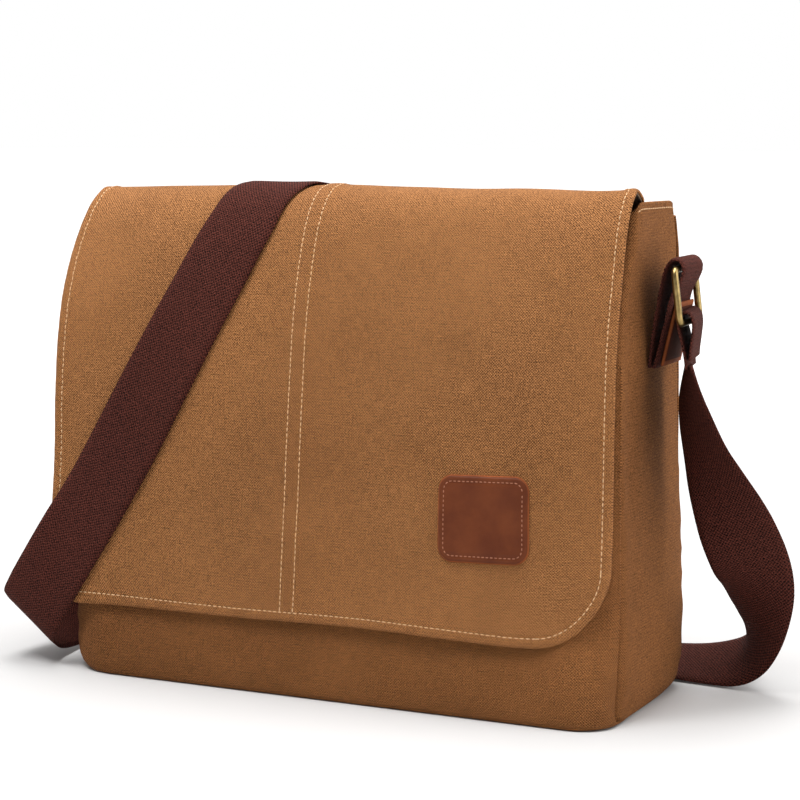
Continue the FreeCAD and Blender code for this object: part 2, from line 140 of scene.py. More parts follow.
# the strap's control points from the right ring to the left one, each with the direction across it
STRAP_ROUTE = [
    ((214, 0, 211), (-0.35, 0.93, 0)), ((215, 0, 192), (-0.56, 0.82, -0.03)),
    ((219, 1, 175), (-0.68, 0.72, -0.08)), ((224, 4, 157), (-0.76, 0.63, -0.14)),
    ((230, 7, 140), (-0.88, 0.43, -0.19)), ((236, 12, 123), (-0.95, 0.2, -0.26)),
    ((242, 17, 105), (-0.95, -0.07, -0.29)), ((247, 25, 88), (-0.95, -0.15, -0.22)),
    ((248, 36, 73), (-1, 0, 0)), ((246, 47, 58), (-0.94, 0.24, 0.25)),
    ((243, 57, 42), (-0.79, 0.46, 0.41)), ((239, 66, 27), (-0.5, 0.67, 0.55)),
    ((230, 73, 15), (-0.1, 0.87, 0.49)), ((213, 77, 10.5), (0, 0.93, 0.37)),
    ((190, 80, 8), (0, 0.97, 0.24)), ((150, 83, 7), (0, 0.98, 0.2)),
    ((100, 85, 8), (0, 0.97, 0.24)), ((45, 85, 10.5), (0, 0.92, 0.38)),
    ((-10, 83, 14), (0, 0.85, 0.52)), ((-65, 80, 19), (0, 0.68, 0.73)),
    ((-115, 77, 23), (0, 0.4, 0.92)), ((-150, 74, 25), (0, 0.2, 0.98)),
    ((-180, 71, 25.5), (0, 0, 1)), ((-203, 61, 26), (0, 0, 1)),
    ((-211, 42, 26), (-0.05, 0, 1)), ((-212, 21, 25.5), (-0.2, 0, 0.98)),
    ((-213, 2, 24.5), (-0.36, 0.05, 0.93)), ((-216, -16, 23), (-0.5, 0.1, 0.86)),
    ((-217, -34, 22), (-0.61, 0.15, 0.78)), ((-217, -54, 22), (-0.72, 0.16, 0.67)),
    ((-214, -71, 29), (-0.83, 0.07, 0.55)), ((-204, -81, 42), (-0.86, 0, 0.51)),
    ((-187, -81, 68), (-0.87, 0, 0.5)), ((-160.5, -78, 110), (-0.87, 0, 0.5)),
    ((-134.5, -72, 155), (-0.87, 0, 0.5)), ((-111, -67, 200), (-0.87, 0.03, 0.5)),
    ((-94, -62, 233), (-0.87, 0.06, 0.48)), ((-82, -57, 257), (-0.89, 0.1, 0.44)),
    ((-73, -50, 278), (-0.9, 0.16, 0.41)), ((-65.5, -42, 294), (-0.91, 0.21, 0.37)),
    ((-62, -30, 307.5), (-0.94, 0.29, 0.2)), ((-56.5, -14.3, 316), (-0.96, 0.26, 0.08)),
    ((-52, 4.6, 319), (-0.97, 0.23, 0.02)), ((-47.5, 22.9, 317.5), (-0.98, 0.21, -0.04)),
    ((-44.5, 40, 311.5), (-0.99, 0.13, -0.06)), ((-42.5, 55, 301), (-1, 0.02, -0.07)),
    ((-42, 59, 284), (-1, 0, -0.04)), ((-41, 60.5, 264), (-1, 0, -0.06)),
    ((-40, 62.5, 245), (-0.98, -0.15, -0.12)), ((-38, 67, 226), (-0.92, -0.37, -0.12)),
    ((-37, 72, 207), (-0.78, -0.61, -0.14)), ((-38, 77, 188), (-0.53, -0.83, -0.17)),
    ((-42, 81, 171), (-0.2, -0.95, -0.24)), ((-51, 84, 156), (0.06, -0.93, -0.37)),
    ((-66, 86, 144), (0.2, -0.83, -0.52)), ((-85, 87, 136), (0.26, -0.72, -0.64)),
    ((-105, 87, 129), (0.28, -0.61, -0.74)), ((-126, 85, 124), (0.27, -0.52, -0.81)),
    ((-148, 82, 121), (0.26, -0.46, -0.85)), ((-169, 78, 119), (0.24, -0.44, -0.87)),
    ((-188, 73, 119), (0.26, -0.47, -0.84)), ((-207, 61, 121), (0.36, -0.57, -0.74)),
    ((-214, 46, 127), (0.53, -0.63, -0.56)), ((-216, 31, 135), (0.68, -0.62, -0.38)),
    ((-216.5, 17, 146), (0.66, -0.7, -0.26)), ((-214, 5, 158), (0.4, -0.9, -0.1)),
    ((-211, 0, 175), (0, -1, 0)), ((-211, 0, 189), (0, -1, 0)), ((-211, 0, 204), (0, -1, 0)),
]
# the route's stations where the three lengths of webbing meet, and where it lies on the flap
LEG_RIGHT_END = 15
LEG_LEFT_START = 52
ON_FLAP = (31, 46)
STEPS_PER_SPAN = 7
STRAP_COLUMNS = 13

# ---- camera and lights, in metres, degrees and watts, with the lens in millimetres ----
CAMERA_PLACE = (0.597, -1.230, 0.350)
CAMERA_DOWN = 7.2
CAMERA_ROUND = 25
CAMERA_LENS = 96.75
LIGHT_TARGET = (0, 0, 0.15)
LIGHTS = (
    ("key", (-0.35, -0.9, 2.3), 0.8, 36.0),
    ("top", (-0.1, 0.2, 2.4), 1.4, 43.0),
    ("side", (2.4, 0.1, 1.3), 2.2, 42.0),
)


# ---- material helpers ----
class Nodes:
    """Short names for building a node tree."""

    def __init__(self, name):
        self.material = bpy.data.materials.new(name)
        self.material.use_nodes = True
        self.tree = self.material.node_tree
        self.shader = self.tree.nodes["Principled BSDF"]

    def add(self, kind, **settings):
        node = self.tree.nodes.new("ShaderNode" + kind)
        for key, value in settings.items():
            if key in node.inputs:
                self.put(node, key, value)
            else:
                setattr(node, key, value)
        return node

    def put(self, node, key, value):
        if isinstance(value, bpy.types.NodeSocket):
            self.tree.links.new(value, node.inputs[key])
        else:
            node.inputs[key].default_value = value

    def maths(self, operation, *values):
        node = self.add("Math", operation=operation)
        for i, value in enumerate(values):
            self.put(node, i, value)
        return node.outputs[0]

    def mix(self, factor, first, second):
        node = self.add("Mix", data_type="RGBA")
        self.put(node, 0, factor)
        self.put(node, 6, first)
        self.put(node, 7, second)
        return node.outputs[2]

    def noise(self, vector, scale, detail=2.0, roughness=0.5):
        node = self.add("TexNoise", Scale=scale, Detail=detail, Roughness=roughness)
        self.put(node, "Vector", vector)
        return node.outputs[0]

    def scaled(self, vector, factors):
        node = self.add("VectorMath", operation="MULTIPLY")
        self.put(node, 0, vector)
        self.put(node, 1, factors)
        return node.outputs[0]

    def ramp(self, value, low, high):
        node = self.add("MapRange", interpolation_type="SMOOTHSTEP")
        self.put(node, "Value", value)
        self.put(node, "From Min", low)
        self.put(node, "From Max", high)
        return node.outputs[0]

    def bump(self, height, strength, distance, normal=None):
        node = self.add("Bump", Strength=strength, Distance=distance)
        self.put(node, "Height", height)
        if normal is not None:
            self.put(node, "Normal", normal)
        return node.outputs[0]


def cloth(name, dark, light, pitch, relief, mottling=0.5, sheen=0.15, roughness=0.92):
    """Plain weave from the piece's cloth coordinates, with uneven threads and a soft wash."""
    n = Nodes(name)
    uv = n.add("UVMap", uv_map="cloth").outputs[0]
    place = n.add("TexCoord").outputs["Object"]
    split = n.add("SeparateXYZ")
    n.put(split, 0, uv)
    along = n.maths("MULTIPLY", split.outputs[0], math.pi / pitch)
    across = n.maths("MULTIPLY", split.outputs[1], math.pi / pitch)
    wobble = n.maths("MULTIPLY", n.noise(uv, 0.4, 2.0), 3.4)
    warp = n.maths("SINE", n.maths("ADD", along, wobble))
    weft = n.maths("SINE", n.maths("ADD", across, wobble))
    weave = n.maths("MULTIPLY_ADD", n.maths("MULTIPLY", warp, weft), 0.42, 0.5)
    weave = n.maths("ADD", weave, n.maths("MULTIPLY", weft, 0.06))
    threads_across = n.noise(n.scaled(uv, (0.11, 0.95, 1.0)), 1.0, 2.0)
    threads_up = n.noise(n.scaled(uv, (0.95, 0.11, 1.0)), 1.0, 2.0)
    slubs = n.maths("MULTIPLY", n.maths("ADD", threads_across, threads_up), 0.5)
    grain = n.noise(uv, 0.85, 2.0, 0.7)
    wash = n.noise(place, 9.0, 3.0)
    tone = n.maths("MULTIPLY_ADD", n.maths("SUBTRACT", slubs, 0.5), 0.7, 0.5)
    tone = n.maths("ADD", tone, n.maths("MULTIPLY", n.maths("SUBTRACT", grain, 0.5), 1.3))
    tone = n.maths("ADD", tone, n.maths("MULTIPLY", n.maths("SUBTRACT", weave, 0.5), 0.9))
    tone = n.maths("ADD", tone, n.maths("MULTIPLY", n.maths("SUBTRACT", wash, 0.5), mottling))
    n.put(n.shader, "Base Color", n.mix(n.ramp(tone, 0.0, 1.0), (*dark, 1), (*light, 1)))
    height = n.maths("ADD", n.maths("MULTIPLY", weave, 0.6), n.maths("MULTIPLY", slubs, 0.8))
    height = n.maths("ADD", height, n.maths("MULTIPLY", grain, 0.6))
    n.put(n.shader, "Normal", n.bump(height, 0.8, relief))
    n.put(n.shader, "Roughness", roughness)
    n.put(n.shader, "Specular IOR Level", 0.12)
    n.put(n.shader, "Sheen Weight", sheen)
    n.put(n.shader, "Sheen Roughness", 0.5)
    return n.material


def leather(name, dark, light, roughness=0.5):
    """Waxed leather: fine pebbling, cloudy colour."""
    n = Nodes(name)
    place = n.add("TexCoord").outputs["Object"]
    cloud = n.noise(place, 60.0, 4.0)
    pores = n.add("TexVoronoi", Scale=1500.0)
    n.put(pores, "Vector", place)
    n.put(n.shader, "Base Color", n.mix(n.ramp(cloud, 0.25, 0.75), (*dark, 1), (*light, 1)))
    fine = n.bump(pores.outputs[0], 0.25, 0.0002)
    n.put(n.shader, "Normal", n.bump(n.noise(place, 320.0, 3.0), 0.3, 0.0005, fine))
    n.put(n.shader, "Roughness", roughness)
    n.put(n.shader, "Specular IOR Level", 0.2)
    return n.material


def metal(name, colour, roughness):
    """Plated metal with faint handling marks."""
    n = Nodes(name)
    place = n.add("TexCoord").outputs["Object"]
    marks = n.noise(place, 240.0, 4.0)
    darker = tuple(c * 0.55 for c in colour)
    n.put(n.shader, "Base Color", n.mix(n.ramp(marks, 0.3, 0.7), (*darker, 1), (*colour, 1)))
    n.put(n.shader, "Metallic", 1.0)
    n.put(n.shader, "Roughness", n.maths("MULTIPLY_ADD", marks, 0.2, roughness))
    return n.material


def thread(name, colour):
    """Twisted cotton thread."""
    n = Nodes(name)
    place = n.add("TexCoord").outputs["Object"]
    n.put(n.shader, "Base Color", n.mix(n.noise(place, 900.0), (*[c * 0.7 for c in colour], 1), (*colour, 1)))
    n.put(n.shader, "Roughness", 0.8)
    return n.material


def plain(name, colour, roughness):
    """Board, nylon and other plain stuff, with slight unevenness."""
    n = Nodes(name)
    place = n.add("TexCoord").outputs["Object"]
    darker = tuple(c * 0.8 for c in colour)
    n.put(n.shader, "Base Color", n.mix(n.noise(place, 180.0, 3.0), (*darker, 1), (*colour, 1)))
    n.put(n.shader, "Roughness", roughness)
    return n.material


CANVAS = cloth("canvas", (0.06, 0.021, 0.006), (0.505, 0.219, 0.077), 0.85, 0.0011, 0.3, 0.02)
# canvas of the bag body: the flap's canvas darkened as painted shade, for the shade under the flap and on the
# side walls
SHADED_BODY_CANVAS = cloth("body_canvas_painted_shade", (0.035, 0.012, 0.004), (0.39, 0.156, 0.05), 0.85, 0.0014, 0.4, 0.0)
LINING = cloth("lining", (0.11, 0.065, 0.035), (0.2, 0.125, 0.07), 0.7, 0.0002, 0.3)
STRAPPING = cloth("webbing", (0.006, 0.0013, 0.001), (0.12, 0.031, 0.021), 1.15, 0.0014, 0.2, 0.0)
LEATHER = leather("leather", (0.1, 0.021, 0.005), (0.15, 0.036, 0.009))
LEATHER_EDGE = leather("leather_edge", (0.2, 0.05, 0.013), (0.3, 0.08, 0.022), 0.8)
# dark brown leather for the tab's face, darker than the patch leather as painted shade from the ring and
# strap
SHADED_TAB_LEATHER = leather("leather_tab", (0.06, 0.014, 0.006), (0.1, 0.024, 0.009), 0.9)
BRASS = metal("antique_brass", (0.42, 0.3, 0.12), 0.24)
THREAD = thread("light_thread", (0.82, 0.52, 0.28))
LEATHER_THREAD = thread("patch_thread", (0.42, 0.17, 0.09))
NYLON = plain("zip_nylon", (0.16, 0.1, 0.06), 0.6)
BOARD = plain("board", (0.3, 0.22, 0.14), 0.8)


# ---- mesh helpers ----
def mesh_object(name, points, faces, material, cloth_xy=None):
    """A smooth mesh from points in millimetres; cloth_xy are its weave coordinates."""
    mesh = bpy.data.meshes.new(name)
    mesh.from_pydata([tuple(p) for p in np.asarray(points, float) * 0.001], [], faces)
    mesh.validate()
    mesh.shade_smooth()
    layer = mesh.uv_layers.new(name="cloth")
    if cloth_xy is not None:
        corner_points = np.zeros(len(mesh.loops), int)
        mesh.loops.foreach_get("vertex_index", corner_points)
        layer.data.foreach_set("uv", np.asarray(cloth_xy, float)[corner_points].ravel())
    mesh.materials.append(material)
    obj = bpy.data.objects.new(name, mesh)
    bpy.context.scene.collection.objects.link(obj)
    return obj


def smooth_line(points, count):
    """A curve through the points, as count points."""
    p = np.array(points, float)
    p = np.vstack([2 * p[0] - p[1], p, 2 * p[-1] - p[-2]])
    t = np.linspace(0, len(points) - 1, count)
    i = np.minimum(t.astype(int), len(points) - 2)
    f = (t - i)[:, None]
    a, b, c, d = p[i], p[i + 1], p[i + 2], p[i + 3]
    return 0.5 * (2 * b + (c - a) * f + (2 * a - 5 * b + 4 * c - d) * f**2 + (3 * b - a - 3 * c + d) * f**3)


def lengths_along(line):
    """Distance from the line's start to each of its points."""
    return np.concatenate([[0.0], np.cumsum(np.linalg.norm(np.diff(line, axis=0), axis=1))])


def respaced(line, marks):
    """The line's points at those distances from its start."""
    run = lengths_along(line)
    return np.stack([np.interp(marks, run, line[:, k]) for k in range(line.shape[1])], axis=1)


def unit(vectors):
    """Vectors made one long."""
    return vectors / np.maximum(np.linalg.norm(vectors, axis=-1, keepdims=True), 1e-9)


def sheet_normals(grid):
    """Unit normals of a rows x columns grid of points."""
    return unit(np.cross(np.gradient(grid, axis=1), np.gradient(grid, axis=0)))


def cloth_across(grid, height):
    """Cloth coordinates of a grid: length along each row from its middle, and the height given."""
    steps = np.linalg.norm(np.diff(grid, axis=1), axis=2)
    along = np.concatenate([np.zeros((len(grid), 1)), np.cumsum(steps, axis=1)], axis=1)
    return np.stack([along - along[:, grid.shape[1] // 2][:, None], height], axis=-1)


def thick_sheet(name, outer, thick, cloth_xy, material, side=1.0, window=None):
    """A closed piece of cloth from the grid of its outer face; side turns the grid's normals outward."""
    rows, columns = outer.shape[:2]
    inner = outer - sheet_normals(outer) * (side * thick)
    count = rows * columns
    loop = [(0, c) for c in range(columns)] + [(r, columns - 1) for r in range(1, rows)]
    loop += [(rows - 1, c) for c in range(columns - 2, -1, -1)] + [(r, 0) for r in range(rows - 2, 0, -1)]
    at = np.array(loop)
    inside = np.stack([np.clip(at[:, 0], 1, rows - 2), np.clip(at[:, 1], 1, columns - 2)], axis=1)
    away = unit(outer[at[:, 0], at[:, 1]] - outer[inside[:, 0], inside[:, 1]])
    rim = (outer[at[:, 0], at[:, 1]] + inner[at[:, 0], at[:, 1]]) / 2 + away * thick * 0.4
    points = np.vstack([outer.reshape(-1, 3), inner.reshape(-1, 3), rim])
    flat = cloth_xy.reshape(-1, 2)
    weave = np.vstack([flat, flat, flat[at[:, 0] * columns + at[:, 1]]])
    faces = []
    open_cells = window if window is not None else np.zeros((rows - 1, columns - 1), bool)
    for r in range(rows - 1):
        for c in range(columns - 1):
            a = r * columns + c
            if not open_cells[r, c]:
                faces.append((a, a + 1, a + columns + 1, a + columns))
                faces.append((count + a, count + a + columns, count + a + columns + 1, count + a + 1))
                continue
            for (r2, c2), (p, q) in {
                (r - 1, c): (a, a + 1), (r + 1, c): (a + columns + 1, a + columns),
                (r, c - 1): (a + columns, a), (r, c + 1): (a + 1, a + columns + 1),
            }.items():
                if not open_cells[r2, c2]:
                    faces.append((q, p, count + p, count + q))
    for i, (r, c) in enumerate(loop):
        j = (i + 1) % len(loop)
        a, b = r * columns + c, loop[j][0] * columns + loop[j][1]
        m, n = 2 * count + i, 2 * count + j
        faces += [(b, a, m, n), (n, m, count + a, count + b)]
    if side < 0:
        faces = [face[::-1] for face in faces]
    return mesh_object(name, points, faces, material, weave)


def wavy(x, y, wave, seed):
    """Soft irregular undulation, about -1 to 1."""
    total = 0.0
    for k in range(5):
        angle = seed * 1.7 + k * 1.31
        step = 2 * math.pi / (wave * (0.7 + 0.23 * k))
        total = total + np.sin((x * math.cos(angle) + y * math.sin(angle)) * step + seed * 3.1 + k * 2.3)
    return total / 3.2


def stitches(name, lines, material, step=STITCH_STEP, long=2.6, wide=0.8, high=0.6):
    """Thread stitches along lines, each given as (points, outward normals)."""
    ring = [(math.cos(a), math.sin(a)) for a in np.linspace(0, 2 * math.pi, 7)[:-1]]
    stations = [(-0.5, 0.35), (-0.3, 0.9), (0.0, 1.0), (0.3, 0.9), (0.5, 0.35)]
    around = len(ring)
    points = []
    faces = []
    for line, normals in lines:
        run = lengths_along(line)
        marks = np.arange(step / 2, run[-1], step)
        centres = respaced(line, marks)
        ahead = unit(respaced(line, marks + 0.5) - respaced(line, marks - 0.5))
        up = unit(np.stack([np.interp(marks, run, normals[:, k]) for k in range(3)], axis=1))
        across = np.cross(ahead, up)
        for centre, forward, out, aside in zip(centres, ahead, up, across):
            first = len(points)
            for place, girth in stations:
                for c, s in ring:
                    sunk = 0.1 - 1.2 * place * place
                    offset = aside * c * wide / 2 * girth + out * (s * high / 2 * girth + sunk)
                    points.append(centre + forward * place * long + offset)
            for k in range(len(stations) - 1):
                for i in range(around):
                    j = (i + 1) % around
                    a = first + k * around
                    faces.append((a + i, a + j, a + around + j, a + around + i))
            last = first + (len(stations) - 1) * around
            faces.append(tuple(first + around - 1 - i for i in range(around)))
            faces.append(tuple(last + i for i in range(around)))
    return mesh_object(name, points, faces, material)


def nurbs_line(points, per_span):
    """Points along the smooth line that has these control points, read from a NURBS spline."""
    curve = bpy.data.curves.new("route", "CURVE")
    curve.dimensions = "3D"
    spline = curve.splines.new("NURBS")
    spline.points.add(len(points) - 1)
    for slot, point in zip(spline.points, points):
        slot.co = (*point, 1.0)
    spline.order_u = 3
    spline.use_endpoint_u = True
    spline.resolution_u = per_span
    route = bpy.data.objects.new("route", curve)
    mesh = bpy.data.meshes.new_from_object(route)
    line = np.array([tuple(vertex.co) for vertex in mesh.vertices])
    bpy.data.objects.remove(route)
    bpy.data.meshes.remove(mesh)
    bpy.data.curves.remove(curve)
    return line


def ribbon(name, grid, thick, cloth_start, material):
    """Webbing from a grid of points on its middle surface, with full rounded edges."""
    rows, columns = grid.shape[:2]
    normals = sheet_normals(grid)
    share = np.linspace(-1, 1, columns)
    half = thick / 2 * np.sqrt(np.clip(1 - np.abs(share) ** 14, 0.12, 1))[None, :, None]
    top = grid + normals * half
    low = grid - normals * half
    ring = np.concatenate([top, low[:, ::-1]], axis=1)
    size = 2 * columns
    run = lengths_along(grid[:, columns // 2]) + cloth_start
    widths = np.concatenate([share, share[::-1]]) * WEBBING / 2
    weave = np.stack(np.meshgrid(widths, run), axis=-1).reshape(-1, 2)
    faces = []
    for r in range(rows - 1):
        for c in range(size):
            d = (c + 1) % size
            faces.append((r * size + c, r * size + d, (r + 1) * size + d, (r + 1) * size + c))
    faces.append(tuple(range(size))[::-1])
    faces.append(tuple((rows - 1) * size + c for c in range(size)))
    return mesh_object(name, ring.reshape(-1, 3), faces, material, weave)


def attach(obj, body, material_slot, *nodes):
    """The piece rides on a body and stands for CAD nodes; material_slot is not used."""
    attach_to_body(obj, body)
    if nodes:
        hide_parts(*nodes)
    return obj


# ---- bag body ----
def seam_bulge(side, z):
    """How far a side seam stands out beyond the bag's half width; the right side is fuller."""
    fullness = np.where(np.asarray(side) > 0, 3.2, 0.4)
    return fullness * np.interp(z, [0, 20, 50, 90, 150, 212], [0.6, 0.9, 1.0, 0.7, 0.2, 0.0])


def slack_corner(x, y, z):
    """How far the lower front left corner is pulled back."""
    return (x < 0) * (y < 0) * np.interp(z, [0, 15, 31, 60, 120], [18, 12, 7, 3, 0])


def raised_corner(x, y, z):
    """How far the lower front left corner stands off the floor."""
    away = np.hypot(x + HALF, np.clip(y + 58, 0, None))
    return 13 * np.clip(1 - away / 34, 0, 1) ** 1.5 * np.clip(1 - z / 40, 0, 1)


def seam_share(x, z):
    """1 in the panel's middle, falling to 0 round its side edges, more softly higher up."""
    foot = np.clip((z - 6) / 60, 0, 1)
    reach = np.where(x > 0, 24 + 12 * foot, 46 - 10 * foot)
    near = np.clip((np.abs(x) - (HALF - reach)) / reach, 0, 1)
    return np.clip(1 - near**2, 0, 1) ** (0.5 + 0.5 * foot)


def band_surface():
    """The cloth of pocket front, base and back: outer face and cloth coordinates."""
    middle = smooth_line(BAND_MIDDLE, 300)
    seam = smooth_line(BAND_SEAM, 300)
    run = lengths_along(middle)
    rims = (0, 0.2)
    window = [run[-1] - ZIP_BELOW_TOP + s * (ZIP_HALF_HEIGHT + k) for s in (-1, 1) for k in rims]
    marks = np.unique(np.round(np.concatenate([np.arange(0, run[-1], 2.6), window, [run[-1]]]), 2))
    middle_rows = respaced(middle, marks)[:, None]
    seam_rows = np.stack([np.interp(marks, run, seam[:, k]) for k in (0, 1)], axis=1)[:, None]
    zip_ends = [s * (ZIP_HALF_LENGTH + k) for s in (-1, 1) for k in rims]
    x = np.unique(np.concatenate([np.linspace(-HALF, HALF, 135), zip_ends]))
    x = np.concatenate([x[:1], [-HALF + 0.7, -HALF + 1.6], x[1:-1], [HALF - 1.6, HALF - 0.7], x[-1:]])
    flat_x, flat_run = np.meshgrid(x, marks)
    share = seam_share(flat_x, seam_rows[..., 1])[..., None]
    pulled = slack_corner(flat_x, seam_rows[..., 0], seam_rows[..., 1])
    yz = seam_rows * (1 - share) + middle_rows * share
    y = yz[..., 0] + pulled * (1 - share[..., 0])
    stand_out = seam_bulge(flat_x, yz[..., 1]) * np.sign(flat_x) * (np.abs(flat_x) / HALF) ** 8
    stand_out = stand_out + SLACK_INWARD * pulled * (1 - share[..., 0])
    grid = np.stack([flat_x + stand_out, y, yz[..., 1]], axis=-1)
    grid[..., 2] += raised_corner(*np.moveaxis(grid, -1, 0))
    edge = HALF - np.abs(flat_x)
    pucker = 0.4 * np.sin(flat_run / 3.4 + 2 * np.sin(flat_run / 17)) * np.exp(-((edge - 5) / 4) ** 2)
    pucker = pucker - 2.2 * np.exp(-((edge / 3.0) ** 2))
    swell = 0.8 * wavy(flat_x, flat_run, 120, 1) + 0.35 * wavy(flat_x, flat_run, 38, 4)
    on_floor = np.clip((grid[..., 2] - 1.5) / 12, 0, 1)
    push = (swell * np.clip(edge / 25, 0, 1) + pucker) * on_floor
    hem = np.clip(1 - np.abs(flat_run - 9) / 1.2, 0, 1) * 0.5
    grid = grid + sheet_normals(grid) * -(push - hem)[..., None]
    return grid, np.stack([flat_x, flat_run], axis=-1)


def band():
    """Pocket front, base and back as one cloth, open at the back zip."""
    grid, flat = band_surface()
    along = flat[:-1, 0, 1] + 0.01
    zip_line = flat[-1, 0, 1] - ZIP_BELOW_TOP
    rows_open = np.abs(along - zip_line) < ZIP_HALF_HEIGHT + 0.05
    columns_open = np.abs(flat[0, :-1, 0] + 0.01) < ZIP_HALF_LENGTH + 0.05
    window = rows_open[:, None] & columns_open[None, :]
    weave = cloth_across(grid, flat[..., 1])
    # the band's darker canvas is painted shade
    piece = thick_sheet("canvas_band", grid, CLOTH_THICK, weave, SHADED_BODY_CANVAS, -1.0, window)
    attach(piece, "bag", "canvas", "front_pocket", "front_pocket_binding", "base_panel", "back_panel")
    return grid


def gusset_grid(side):
    """Outer face of a side wall, from front to back and from the base up."""
    front = smooth_line(GUSSET_FRONT, 110)
    back = smooth_line(GUSSET_BACK, 110)
    t = np.concatenate([[0, 0.008, 0.02], np.linspace(0.04, 0.96, 44), [0.98, 0.992, 1]])[None, :]
    level = np.clip((front[:, 1:] - 270) / 29, 0, 1)
    arch = 6.5 * (1 - np.abs(2 * t - 1) ** 14) * level
    if side < 0:
        arch = arch - 11.0 * (1 - t) ** 2.5 * level
    y = front[:, :1] * (1 - t) + back[:, :1] * t
    z = front[:, 1:] * (1 - t) + back[:, 1:] * t + arch
    slack = slack_corner(np.full_like(y, side), y, z) * (1 - t) ** 2
    y = y + slack
    edge = np.minimum(t, 1 - t) * 105
    curl = 6.5 * (1 - np.sqrt(np.clip(1 - (1 - np.clip(edge / 6.5, 0, 1)) ** 2, 0, 1)))
    full = np.sin(math.pi * np.clip(t, 0, 1)) ** 0.45 * (0.3 + 0.7 * t)
    height = np.interp(z, [0, 8, 30, 90, 180, 300], [0.15, 0.7, 1.0, 0.85, 0.4, 0.0])
    hollow = 1.4 * np.exp(-(((y + 40) / 11) ** 2)) * np.clip((z - 60) / 80, 0, 1)
    hollow = hollow * np.clip((300 - z) / 60, 0, 1)
    soft = 0.8 * wavy(y, z, 70, 6) * np.clip(edge / 14, 0, 1)
    pucker = 0.4 * np.sin(z / 3.4 + 1.5 * np.sin(z / 13)) * np.exp(-((edge - 8) / 4) ** 2)
    foot = np.clip((z - 1) / 9, 0, 1)
    x = HALF + seam_bulge(side, z) - curl + 8.0 * full * height - hollow + (soft + pucker) * foot
    x = x - SLACK_INWARD * slack
    grid = np.stack([x * side, y, z], axis=-1)
    grid[..., 2] += raised_corner(*np.moveaxis(grid, -1, 0))
    return grid, cloth_across(grid, z)


def gussets():
    """Both side walls with their stitched top hems."""
    for side, name in ((1, "right"), (-1, "left")):
        grid, flat = gusset_grid(side)
        # the side walls' darker canvas is painted shade
        piece = thick_sheet("gusset_" + name, grid, CLOTH_THICK, flat, SHADED_BODY_CANVAS, float(side))
        attach(piece, "bag", "canvas", "side_gusset_" + name)
        columns = grid[:, 3:-3].swapaxes(0, 1)
        top = np.array([[np.interp(c[-1, 2] - 3.5, c[:, 2], c[:, k]) for k in range(3)] for c in columns])
        hem = stitches("gusset_hem_" + name, [(top, np.tile([side, 0, 0], (len(top), 1)))], THREAD)
        attach(hem, "bag", "canvas")


# ---- flap ----
def flap_edge(x, v):
    """Distance inside the flap's outline; v is the distance up from its lower edge."""
    across = np.abs(x - FLAP_MIDDLE)
    corner = np.where(x < FLAP_MIDDLE, *FLAP_CORNERS)
    corner_x = across - (FLAP_HALF - corner)
    corner_v = corner - v
    rounded = corner - np.hypot(corner_x, corner_v)
    straight = np.minimum(FLAP_HALF - across, v)
    return np.where((corner_x > 0) & (corner_v > 0), rounded, straight)


